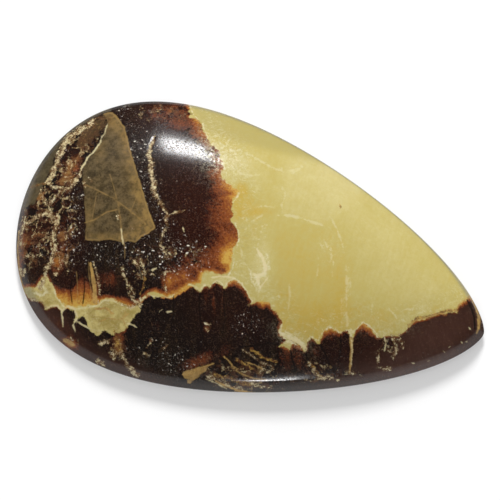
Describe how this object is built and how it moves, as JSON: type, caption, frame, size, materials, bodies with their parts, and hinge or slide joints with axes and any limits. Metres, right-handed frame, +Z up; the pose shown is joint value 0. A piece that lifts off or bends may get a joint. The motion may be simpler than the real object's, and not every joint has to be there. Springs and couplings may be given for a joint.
{
  "type": "pear cut gemstone",
  "caption": "Pear cut calcite cabochon: a polished stone with a domed top, a low sloping wall round it and a flat back.",
  "frame": {"origin": "middle of the stone's outline, on its flat back", "axes": "+X along the length towards the point, +Z up out of the dome"},
  "size_m": [0.038, 0.0228, 0.0054],
  "materials": {
    "calcite": "polished"
  },
  "bodies": {
    "root": {"cabochon": "calcite"}
  },
  "joints": []
}
